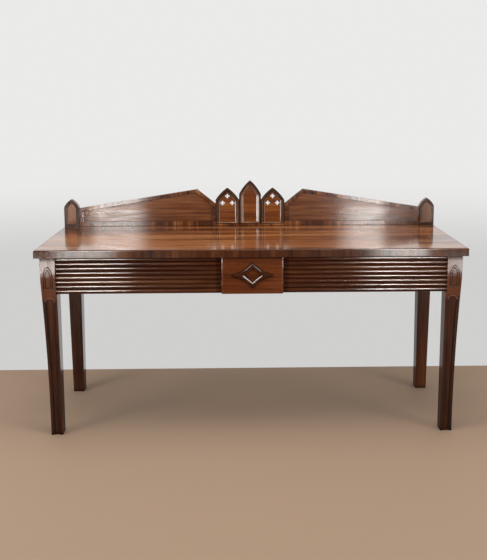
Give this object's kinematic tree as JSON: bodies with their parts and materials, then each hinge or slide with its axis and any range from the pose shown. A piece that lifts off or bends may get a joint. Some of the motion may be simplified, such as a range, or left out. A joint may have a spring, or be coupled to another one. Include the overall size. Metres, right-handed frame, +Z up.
{
  "type": "gothic serving table",
  "caption": "Long polished wooden side table with a reeded frieze, swept front legs and a low galleried back with a pierced lancet arcade.",
  "frame": {"origin": "on the floor, under the middle of the top", "axes": "+X to the right along the table's length, +Y from the front to the galleried back, +Z up"},
  "size_m": [2, 0.7, 1.146],
  "materials": {
    "top_wood": "long-grained reddish brown, gloss polish",
    "polished_wood": "figured reddish brown, gloss polish",
    "cross_grained_wood": "cross-grained reddish brown, gloss polish",
    "secondary_wood": "unpolished secondary wood",
    "screw_iron": "dull iron"
  },
  "bodies": {
    "root": {"top_board": "top_wood", "top_front_lipping": "cross_grained_wood", "top_left_lipping": "cross_grained_wood", "top_right_lipping": "cross_grained_wood", "front_rail": "secondary_wood", "back_rail": "polished_wood", "left_rail": "polished_wood", "right_rail": "polished_wood", "front_left_leg": "polished_wood", "front_right_leg": "polished_wood", "rear_left_leg": "polished_wood", "rear_right_leg": "polished_wood", "left_reeded_panel": "polished_wood", "right_reeded_panel": "polished_wood", "centre_tablet": "polished_wood", "lozenge": "polished_wood", "left_bearer": "secondary_wood", "middle_bearer": "secondary_wood", "right_bearer": "secondary_wood", "front_left_brace": "secondary_wood", "front_right_brace": "secondary_wood", "rear_left_brace": "secondary_wood", "rear_right_brace": "secondary_wood", "front_left_glue_block": "secondary_wood", "front_right_glue_block": "secondary_wood", "rear_left_glue_block": "secondary_wood", "rear_right_glue_block": "secondary_wood", "left_post": "polished_wood", "right_post": "polished_wood", "left_gallery_board": "polished_wood", "right_gallery_board": "polished_wood", "left_long_capping": "cross_grained_wood", "right_long_capping": "cross_grained_wood", "left_short_capping": "cross_grained_wood", "right_short_capping": "cross_grained_wood", "left_base_band": "cross_grained_wood", "right_base_band": "cross_grained_wood", "left_inner_band": "cross_grained_wood", "right_inner_band": "cross_grained_wood", "left_outer_band": "cross_grained_wood", "right_outer_band": "cross_grained_wood", "centre_arch": "polished_wood", "centre_arch_panel": "polished_wood", "left_arch": "polished_wood", "left_arch_panel": "polished_wood", "right_arch": "polished_wood", "right_arch_panel": "polished_wood", "arcade_plinth": "cross_grained_wood", "gallery_dowels": "secondary_wood", "top_screws": "screw_iron"}
  },
  "joints": []
}
